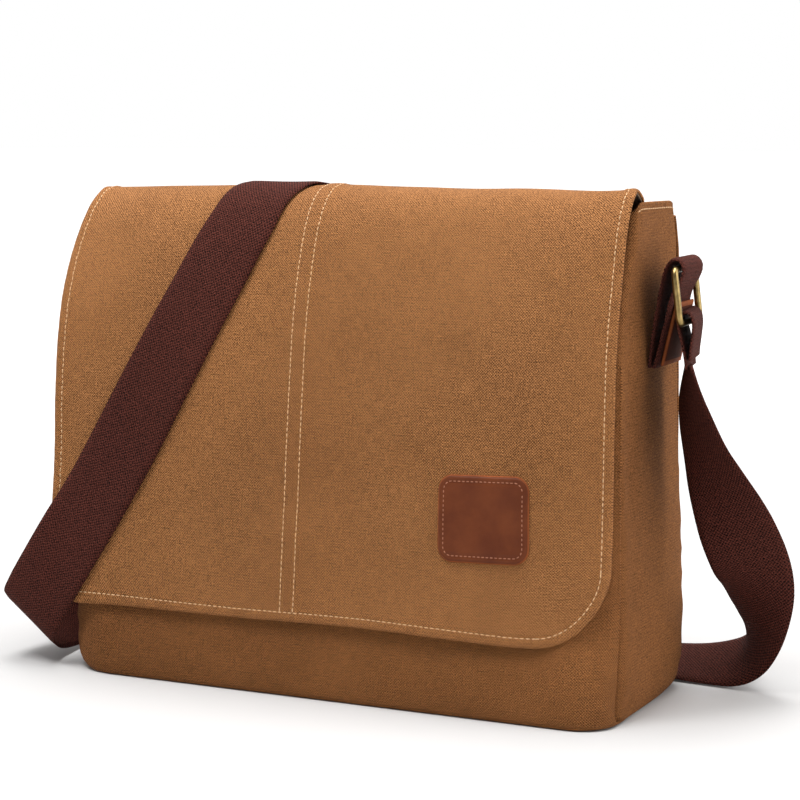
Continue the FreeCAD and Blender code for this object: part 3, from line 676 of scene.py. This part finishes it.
class Flap:
    """The flap's outer face; v runs up from the lower edge, over the top and down the back."""

    def __init__(self):
        self.line = smooth_line(FLAP_MIDDLE_LINE, 400)[::-1]
        self.left = smooth_line(FLAP_LEFT_LINE, 400)[::-1]
        self.right = smooth_line(FLAP_RIGHT_LINE, 400)[::-1]
        self.run = lengths_along(self.line)
        self.length = self.run[-1]
        self.crest = float(np.interp(12.0, self.line[:, 0], self.run))

    def base(self, x, v):
        """Points of the undisturbed surface."""
        u = (x - FLAP_MIDDLE) / FLAP_HALF
        to_left = np.clip((-u - 0.35) / 0.65, 0, 1) ** 2
        to_right = np.clip((u - 0.68) / 0.32, 0, 1) ** 1.7
        yz = []
        for k in (0, 1):
            lines = [np.interp(v, self.run, line[:, k]) for line in (self.line, self.left, self.right)]
            yz.append(lines[0] * (1 - to_left - to_right) + lines[1] * to_left + lines[2] * to_right)
        low = np.clip((60 - v) / 60, 0, 1)
        z = yz[1] + 0.9 * np.sin(x / 34 + 0.6) * low
        narrow = 1 - 0.036 * np.clip((v - self.crest) / 16 + 1, 0, 1)
        return np.stack([FLAP_MIDDLE + (x - FLAP_MIDDLE) * narrow, yz[0], z], axis=-1)

    def relief(self, x, v):
        """How far hems, seams, puckers and soft waves lift the surface."""
        edge = flap_edge(x, v)
        free = np.clip((self.length - v) / 20, 0, 1)
        groove = np.exp(-(((edge - FLAP_HEM) / 0.9) ** 2)) * 0.55
        hem = 0.5 * np.clip((9.5 - edge) / 2, 0, 1)
        turned = 0.9 * np.clip(1 - edge / 2.2, 0, 1) ** 2
        ripple = 0.3 * np.sin((x + v) / 2.1 + 2 * np.sin((x - v) / 19))
        pucker = ripple * np.exp(-((edge - FLAP_HEM) / 5) ** 2)
        low, high = SEAM_LINES
        step = 0.75 * np.clip((x - low + 1.5) / 1.6, 0, 1) * np.clip((high + 3.2 - x) / 1.6, 0, 1)
        lines = sum(np.exp(-(((x - at) / 0.8) ** 2)) * 0.5 for at in SEAM_LINES)
        gather = 0.22 * np.sin(v / 2.0 + 2 * np.sin(v / 21)) * np.exp(-(((x - (low + high) / 2) / 9) ** 2))
        waves = 0.9 * wavy(x, v, 150, 2) + 0.3 * wavy(x, v, 46, 8)
        return step - lines + gather + waves + (hem - groove - turned + pucker) * free

    def outer(self, x, v):
        """Points of the finished outer face, and its normals."""
        base = self.base(x, v)
        du = self.base(x + 0.5, v) - self.base(x - 0.5, v)
        dv = self.base(x, v + 0.5) - self.base(x, v - 0.5)
        normal = unit(np.cross(du, dv))
        return base + normal * self.relief(x, v)[..., None], normal

    def grid(self, marks):
        """Sheet coordinates: columns gather at seams and hems, and follow the rounded corners."""
        dense = [at + k for at in SEAM_LINES for k in (-2.2, -1.2, -0.6, 0, 0.6, 1.2, 2.2)]
        insets = (0, 0.6, 1.4, 4.5, 5.6, 6.2, 6.8, 7.6, 9.6)
        hems = [FLAP_MIDDLE + s * (FLAP_HALF - k) for s in (-1, 1) for k in insets]
        columns = np.linspace(FLAP_MIDDLE - FLAP_HALF, FLAP_MIDDLE + FLAP_HALF, 120)
        columns = np.unique(np.round(np.concatenate([columns, dense, hems]), 2))
        across = columns - FLAP_MIDDLE
        corner = np.where(across < 0, *FLAP_CORNERS)[None, :]
        drop = np.clip(corner - marks[:, None], 0, corner)
        half = FLAP_HALF - corner + np.sqrt(corner**2 - drop**2)
        inner = 110.0
        beyond = np.clip(np.abs(across) - inner, 0, None)
        stretch = (half - inner) / (FLAP_HALF - inner)
        x = FLAP_MIDDLE + np.sign(across) * (np.minimum(np.abs(across), inner) + beyond * stretch)
        v = np.broadcast_to(marks[:, None], x.shape)
        return x, v


def flap_pieces(flap):
    """Flap canvas and lining, each in a front and a back length that meet on top."""
    split = flap.length - FLAP_BACK_LENGTH
    low_marks = [0, 0.5, 1.3, 2.6, 4.4, 5.6, 6.2, 6.8, 7.6, 9.6, 11.5]
    front = np.concatenate([low_marks, np.arange(14, split - 1, 2.7), [split]])
    back = np.concatenate([np.arange(split, flap.length - 1, 2.7), [flap.length]])
    nodes = {
        "front": (("flap_front_left", "flap_front_right"), ("flap_front_lining",)),
        "back": (("flap_top_left", "flap_top_right", "flap_root"), ("flap_top_lining",)),
    }
    for name, marks in (("front", front), ("back", back)):
        x, v = flap.grid(marks)
        outer, _ = flap.outer(x, v)
        flat = np.stack([x, v], axis=-1)
        canvas = thick_sheet("flap_canvas_" + name, outer, CLOTH_THICK, flat, CANVAS)
        under = outer - sheet_normals(outer) * LINING_DEPTH
        lining = thick_sheet("flap_lining_" + name, under, LINING_THICK, flat, LINING)
        for piece, replaced, where in zip((canvas, lining), nodes[name], ("canvas", "lining")):
            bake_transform(piece)
            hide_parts(*replaced)
        seams = stitches("flap_stitching_" + name, flap_seams(flap, marks[0], marks[-1]), THREAD)
        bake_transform(seams)


def flap_seams(flap, low, high):
    """Stitch lines of the felled seam and the hem between two heights on the flap."""
    start = max(low, FLAP_HEM)
    v = np.arange(start, high, 2.0)
    inset = FLAP_HALF - FLAP_HEM
    runs = [(np.full_like(v, x), v) for x in SEAM_LINES]
    ends = []
    for side, corner in zip((-1, 1), FLAP_CORNERS):
        straight = np.arange(max(low, corner), high, 2.0)
        runs.append((np.full_like(straight, FLAP_MIDDLE + side * inset), straight))
        turn = np.linspace(0, math.pi / 2, 40)
        ends.append(FLAP_MIDDLE + side * (FLAP_HALF - corner))
        if low < corner:
            radius = corner - FLAP_HEM
            runs.append((ends[-1] + side * radius * np.sin(turn), corner - radius * np.cos(turn)))
    if low < FLAP_HEM:
        bottom = np.linspace(*ends, 160)
        runs.append((bottom, np.full_like(bottom, FLAP_HEM)))
    lines = []
    for x, up in runs:
        points, normals = flap.outer(x, up)
        lines.append((points + normals * 0.15, normals))
    return lines


def patch_sheet(flap, name, grow, lift, thick, material):
    """A rounded sheet of leather on the flap, grown by a margin and lifted off the cloth."""
    _, _, half_x, half_v, corner = PATCH
    half_x, half_v, corner = half_x + grow, half_v + grow, corner + grow
    ends = [0.91, 0.955, 0.985, 1]
    steps = np.array([-e for e in reversed(ends)] + list(np.linspace(-0.86, 0.86, 40)) + ends)
    up = steps * half_v
    drop = np.clip(np.abs(up) - (half_v - corner), 0, corner)
    half = half_x - corner + np.sqrt(np.clip(corner**2 - drop**2, 1, None))
    across = steps[None, :] * half[:, None]
    raised = np.broadcast_to(up[:, None], across.shape)
    x, v = patch_place(across, raised)
    outer, normals = flap.outer(x, v)
    edge = np.minimum(half[:, None] - np.abs(across), half_v - np.abs(raised))
    dome = lift - 0.9 * np.clip(1 - edge / 1.6, 0, 1) ** 2 - 0.5 * np.exp(-(((edge - 3.2) / 0.8) ** 2))
    flat = np.stack([x, v], axis=-1)
    return thick_sheet(name, outer + normals * dome[..., None], thick, flat, material)


def patch_place(across, up):
    """Flap coordinates of a point of the patch, which is sewn on slightly askew."""
    return PATCH[0] + across - up * PATCH_TURN, PATCH[1] + up + across * PATCH_TURN


def patch(flap):
    """Rounded leather patch with a lighter rim and a stitched border."""
    face = patch_sheet(flap, "patch", 0.0, 2.2, 1.2, LEATHER)
    attach(face, "flap_front", "leather", "leather_patch")
    rim = patch_sheet(flap, "patch_rim", 0.7, 1.5, 1.3, LEATHER_EDGE)
    attach(rim, "flap_front", "leather")
    _, _, half_x, half_v, corner = PATCH
    inset, turn = 3.2, np.linspace(0, math.pi / 2, 12)
    radius = corner - inset
    ring = []
    for sx, sv, back in ((1, 1, False), (-1, 1, True), (-1, -1, False), (1, -1, True)):
        arc = [(half_x - corner + radius * math.cos(a), half_v - corner + radius * math.sin(a)) for a in turn]
        ring += [(sx * a, sv * b) for a, b in (arc[::-1] if back else arc)]
    ring = np.array(ring + ring[:1])
    ring = respaced(ring, np.arange(0, lengths_along(ring)[-1], 1.0))
    points, normals = flap.outer(*patch_place(ring[:, 0], ring[:, 1]))
    lines = [(points + normals * 1.95, normals)]
    seam = stitches("patch_stitching", lines, LEATHER_THREAD, step=2.8, long=1.9, wide=0.65, high=0.6)
    attach(seam, "flap_front", "leather")


# ---- strap and its hardware ----
def strap_grid(flap):
    """Middle surface of the whole strap, laid on the flap where it crosses it, and its rows per station."""
    centres = nurbs_line([point for point, _ in STRAP_ROUTE], STEPS_PER_SPAN)
    wide = nurbs_line([way for _, way in STRAP_ROUTE], STEPS_PER_SPAN)
    per_span = (len(centres) - 1) / (len(STRAP_ROUTE) - 2)
    along = unit(np.gradient(centres, axis=0))
    wide = unit(wide - along * (wide * along).sum(1, keepdims=True))
    share = np.linspace(-1, 1, STRAP_COLUMNS)
    grid = centres[:, None] + wide[:, None] * share[None, :, None] * WEBBING / 2
    v = np.linspace(0, flap.length, 260)
    x = np.linspace(FLAP_MIDDLE - FLAP_HALF, FLAP_MIDDLE + 30, 120)
    surface_x, surface_v = np.meshgrid(x, v)
    surface, normals = flap.outer(surface_x, surface_v)
    surface, normals = surface.reshape(-1, 3), normals.reshape(-1, 3)
    tree = KDTree(len(surface))
    for i, point in enumerate(surface):
        tree.insert(point, i)
    tree.balance()
    first, last = [round(station * per_span) for station in ON_FLAP]
    ease = 14
    for r in range(first - ease, last + ease):
        hold = min(1.0, (r - first + ease) / ease, (last + ease - r) / ease)
        for c in range(grid.shape[1]):
            _, i, _ = tree.find(grid[r, c])
            gap = float((grid[r, c] - surface[i]) @ normals[i])
            wanted = WEBBING_THICK / 2 + 0.7
            if gap < wanted or surface[i][0] > FLAP_MIDDLE - FLAP_HALF + 3:
                grid[r, c] += normals[i] * (wanted - gap) * hold
    smooth = grid.copy()
    for _ in range(3):
        smooth[1:-1] = (smooth[:-2] + 2 * smooth[1:-1] + smooth[2:]) / 4
    eased = slice(first - ease - 6, last + ease + 6)
    grid[eased] = smooth[eased]
    return grid, per_span


def strap(flap):
    """The webbing in three lengths: a leg at each ring and the run between them."""
    grid, per_span = strap_grid(flap)
    right, left = [round(station * per_span) for station in (LEG_RIGHT_END, LEG_LEFT_START)]
    parts = {"leg_right": grid[: right + 1], "run": grid[right : left + 1], "leg_left": grid[left:]}
    start = 0.0
    for name, part in parts.items():
        middle = part[:, part.shape[1] // 2] * 0.001
        length = float(lengths_along(middle)[-1])
        piece = ribbon("strap_" + name, part, WEBBING_THICK, start, STRAPPING)
        start += length * 1000
        if name == "leg_right":
            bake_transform(piece)
        elif name == "leg_left":
            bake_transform(piece)
        else:
            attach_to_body(piece, "bag")
            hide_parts("shoulder_strap")


def turned(points, side, turn, tilt=0.0, from_height=None):
    """Points turned about the upright line through the ring and tilted about its top bar.

    With from_height the turn grows from nothing at that height to full 50 mm above it, and the
    points lower down are set 8 mm further back.
    """
    p = np.array(points, float)
    x, y, drop = p[..., 0] * side - RING_X, p[..., 1], p[..., 2] - RING_TOP
    swing = math.radians(tilt)
    z = RING_TOP + x * math.sin(swing) + drop * math.cos(swing)
    x = x * math.cos(swing) - drop * math.sin(swing)
    raised = np.ones_like(x) if from_height is None else np.clip((z - from_height) / 50, 0, 1)
    y = y + 8 * (1 - raised)
    angle = math.radians(turn) * raised
    out = x * np.cos(angle) - y * np.sin(angle)
    back = x * np.sin(angle) + y * np.cos(angle)
    return np.stack([(out + RING_X) * side, back, z], axis=-1)


def folded_grid(path, width, side):
    """Middle surface of webbing that follows an (x, z) path, with a slightly ragged selvedge."""
    line = smooth_line(path, 70)
    y = np.linspace(-width / 2, width / 2, STRAP_COLUMNS)
    grid = np.zeros((len(line), len(y), 3))
    grid[..., 0] = line[:, :1] * side
    grid[..., 1] = y[None, :]
    grid[..., 2] = line[:, 1:]
    ragged = 0.5 * np.sin(line[:, 1:] * 2.3) + 0.3 * np.sin(line[:, 1:] * 5.1)
    grid[:, [0, -1], 1] += ragged * np.array([-1, 1])
    return grid


def wire_ring(side, name, turn, tilt):
    """Rectangular ring of round wire."""
    half_y, corner = RING_SPAN / 2 - 2, 4.6
    low, high = RING_TOP - RING_DROP, RING_TOP
    line = []
    for y_sign, z_corner, start in ((1, high, 0), (-1, high, 90), (-1, low, 180), (1, low, 270)):
        for a in np.radians(np.linspace(start, start + 90, 9)):
            cy = y_sign * (half_y - corner)
            cz = z_corner + (-corner if z_corner == high else corner)
            line.append((RING_X * side, cy + corner * math.cos(a), cz + corner * math.sin(a)))
    line = np.array(line)
    ahead = unit(np.roll(line, -1, axis=0) - np.roll(line, 1, axis=0))
    out = np.cross(ahead, [1.0, 0, 0])
    points = []
    faces = []
    sides = 20
    for centre, o in zip(line, out):
        for a in np.linspace(0, 2 * math.pi, sides, endpoint=False):
            sideways = np.array([1.0, 0, 0]) * WIRE_RADIUS * math.sin(a)
            points.append(centre + o * WIRE_RADIUS * math.cos(a) + sideways)
    for r in range(len(line)):
        s = (r + 1) % len(line)
        for c in range(sides):
            d = (c + 1) % sides
            faces.append((r * sides + c, r * sides + d, s * sides + d, s * sides + c))
    hung = turned(points, side, turn, tilt)
    attach(mesh_object("wire_" + name, hung, faces, BRASS), name, "brass", name)


def leather_backing(side, name, turn):
    """Leather on the outside of the tab, with a lighter cut edge and a face of dark brown leather, made
    darker still as painted shade from the ring and strap.
    """
    low, high = np.array([196.8, 209.5]), np.array([206.8, 247])
    up = np.linspace(0, 1, 16)[:, None]
    y = np.linspace(-15, 20, 20)
    xz = low * (1 - up) + high * up
    grid = np.zeros((16, 20, 3))
    grid[..., 0] = (xz[:, :1] + 3.4) * side
    grid[..., 1] = y[None, :]
    grid[..., 2] = xz[:, 1:]
    grid = turned(grid, side, turn, from_height=TAB_FOOT)
    flat = np.stack(np.meshgrid(y, up[:, 0] * 43), axis=-1)
    piece = thick_sheet("leather_tab_" + name, grid, 1.6, flat, LEATHER_EDGE, float(side))
    attach(piece, "bag", "leather", "tab_leather_" + name)
    # the face sheet is the darker leather, painted shade from the ring and strap
    face = grid[1:-1, 1:-1].copy()
    face[..., 0] += 0.12 * side
    shaded_leather_face = thick_sheet("leather_face_painted_shade_" + name, face, 0.3, flat[1:-1, 1:-1], SHADED_TAB_LEATHER, float(side))
    attach(shaded_leather_face, "bag", "leather")


def hardware():
    """Tabs, rings and sewn strap ends on both sides."""
    tab_path = [
        (196.2, 208.5), (199, 218), (204, 236), (208.3, 252), (213.9, 262.5), (215.1, 268.5), (212.6, 273),
        (208.4, 273.4), (205.3, 270), (203.2, 264), (199.9, 248), (196.4, 230), (194.2, 216), (193.4, 208.5),
    ]
    end_path = [
        (212.8, 214.5), (213.2, 220), (214, 227), (214.6, 235), (213.4, 240.6), (210, 242.8), (206.5, 240.6),
        (205.6, 235), (207.2, 228), (209, 221), (210.2, 214), (210.8, 209),
    ]
    for side, name, turn, tilt, tab_turn, end_turn in SIDES:
        tab = turned(folded_grid(tab_path, FOLDED_WIDTH, side), side, tab_turn, from_height=TAB_FOOT)
        piece = ribbon("webbing_tab_" + name, tab, WEBBING_THICK, 0.0, STRAPPING)
        attach(piece, "bag", "webbing", "tab_" + name)
        leather_backing(side, name, tab_turn)
        wire_ring(side, "ring_" + name, turn, tilt)
        out = RING_DROP * math.sin(math.radians(tilt))
        hanging = [(x + out, z) for x, z in end_path]
        end = turned(folded_grid(hanging, FOLDED_WIDTH, side), side, end_turn)
        piece = ribbon("webbing_end_" + name, end, WEBBING_THICK, 0.0, STRAPPING)
        attach(piece, "ring_" + name, "webbing", "strap_end_" + name)


# ---- inside and small parts ----
def snaps(flap, band_grid):
    """Magnetic snaps on the pocket front and under the flap."""
    points = band_grid.reshape(-1, 3)
    front = points[(points[:, 1] < 0) & (points[:, 2] > 40)]
    discs = {"studs": [], "sockets": []}
    for x in (-SNAP_X, SNAP_X):
        near = front[np.argmin(np.abs(front[:, 0] - x) + np.abs(front[:, 2] - SNAP_Z))]
        v = float(np.interp(SNAP_Z, flap.line[:200, 1], flap.run[:200]))
        under = flap.outer(np.array([x]), np.array([v]))[0][0]
        discs["studs"].append((under + [0, 3.2, 0], 1.2))
        discs["sockets"].append((near + [0, -0.1, 0], 1.2))
    around = 28
    for name, places in discs.items():
        verts = []
        faces = []
        for centre, thick in places:
            first = len(verts)
            back = thick * 0.6
            profile = [(0, -thick), (7.2, -thick), (8.6, -thick * 0.7), (9, 0), (9, back), (0, back)]
            for radius, depth in profile:
                for a in np.linspace(0, 2 * math.pi, around, endpoint=False):
                    verts.append(centre + [radius * math.cos(a), depth, radius * math.sin(a)])
            for k in range(len(profile) - 1):
                for i in range(around):
                    j = (i + 1) % around
                    a = first + k * around
                    faces.append((a + i, a + j, a + around + j, a + around + i))
        body = "flap_front" if name == "studs" else "bag"
        attach(mesh_object("snap_discs_" + name, verts, faces, BRASS), body, "brass", "snap_" + name)


def dress_carried_nodes():
    """Finishes for the CAD nodes that are shown as they are."""
    looks = {"canvas": CANVAS, "lining": LINING, "webbing": STRAPPING, "leather": LEATHER, "brass": BRASS}
    looks.update({"zip_nylon": NYLON, "board": BOARD})
    slots = {entry["node"]: entry["material_slot"] for entry in frame["record"]["subparts"]}
    for name, node in frame["nodes"].items():
        node.data.materials.clear()
        # the front panel and mouth facing take the darker body canvas, which is painted shade
        look = SHADED_BODY_CANVAS if name in ("front_panel", "mouth_facing") else looks[slots[name]]
        node.data.materials.append(look)
        layer = node.data.uv_layers.get("cloth") or node.data.uv_layers.new(name="cloth")
        box_low, box_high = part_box(name)
        flat_y = (box_high - box_low).y < (box_high - box_low).x
        for corner in node.data.loops:
            p = node.data.vertices[corner.vertex_index].co * 1000
            layer.data[corner.index].uv = (p.x if flat_y else p.y, p.z)


# ---- stage ----
def studio_world():
    """White behind the bag and above it, dimmer on the camera's side of the room."""
    world = bpy.data.worlds.new("studio")
    bpy.context.scene.world = world
    world.use_nodes = True
    tree = world.node_tree
    place = tree.nodes.new("ShaderNodeTexCoord")
    facing = tree.nodes.new("ShaderNodeVectorMath")
    facing.operation = "DOT_PRODUCT"
    facing.inputs[1].default_value = (-0.38, 0.82, 0.43)
    shade = tree.nodes.new("ShaderNodeMapRange")
    for key, value in (("From Min", -0.3), ("From Max", 0.5), ("To Min", 0.22), ("To Max", 1.0)):
        shade.inputs[key].default_value = value
    tree.links.new(place.outputs["Generated"], facing.inputs[0])
    tree.links.new(facing.outputs["Value"], shade.inputs["Value"])
    tree.links.new(shade.outputs[0], tree.nodes["Background"].inputs["Strength"])
    tree.nodes["Background"].inputs["Color"].default_value = (1, 1, 1, 1)


def stage():
    """Pale floor, white surroundings, soft light and the camera."""
    n = Nodes("floor")
    n.put(n.shader, "Base Color", (0.57, 0.564, 0.56, 1))
    n.put(n.shader, "Roughness", 0.9)
    n.put(n.shader, "Specular IOR Level", 0.0)
    n.put(n.shader, "Emission Color", (1, 1, 1, 1))
    split = n.add("SeparateXYZ")
    n.put(split, 0, n.add("TexCoord").outputs["Object"])
    squares = [n.maths("MULTIPLY", split.outputs[k], split.outputs[k]) for k in (0, 1)]
    radius = n.maths("SQRT", n.maths("ADD", *squares))
    n.put(n.shader, "Emission Strength", n.maths("MULTIPLY", n.ramp(radius, 0.35, 2.2), 0.75))
    corners = [(x, y, 0) for x in (-FLOOR_HALF, FLOOR_HALF) for y in (-FLOOR_HALF, FLOOR_HALF)]
    floor = mesh_object("floor", corners, [(0, 2, 3, 1)], n.material)

    studio_world()
    for name, place, size, power in LIGHTS:
        light = bpy.data.lights.new(name, "AREA")
        light.size = size
        light.energy = power
        lamp = bpy.data.objects.new(name, light)
        bpy.context.scene.collection.objects.link(lamp)
        lamp.location = place
        lamp.rotation_euler = (Vector(LIGHT_TARGET) - Vector(place)).to_track_quat("-Z", "Y").to_euler()

    camera = bpy.data.cameras.new("camera")
    camera.lens = CAMERA_LENS
    camera.sensor_width = 36
    eye = bpy.data.objects.new("camera", camera)
    bpy.context.scene.collection.objects.link(eye)
    eye.location = CAMERA_PLACE
    eye.rotation_euler = (math.radians(90 - CAMERA_DOWN), 0, math.radians(CAMERA_ROUND))
    bpy.context.scene.camera = eye
    bpy.context.scene.view_settings.view_transform = "Standard"


def build():
    """Put every piece on the frame."""
    dress_carried_nodes()
    band_grid = band()
    gussets()
    flap = Flap()
    flap_pieces(flap)
    patch(flap)
    hardware()
    snaps(flap, band_grid)
    strap(flap)
    stage()


build()
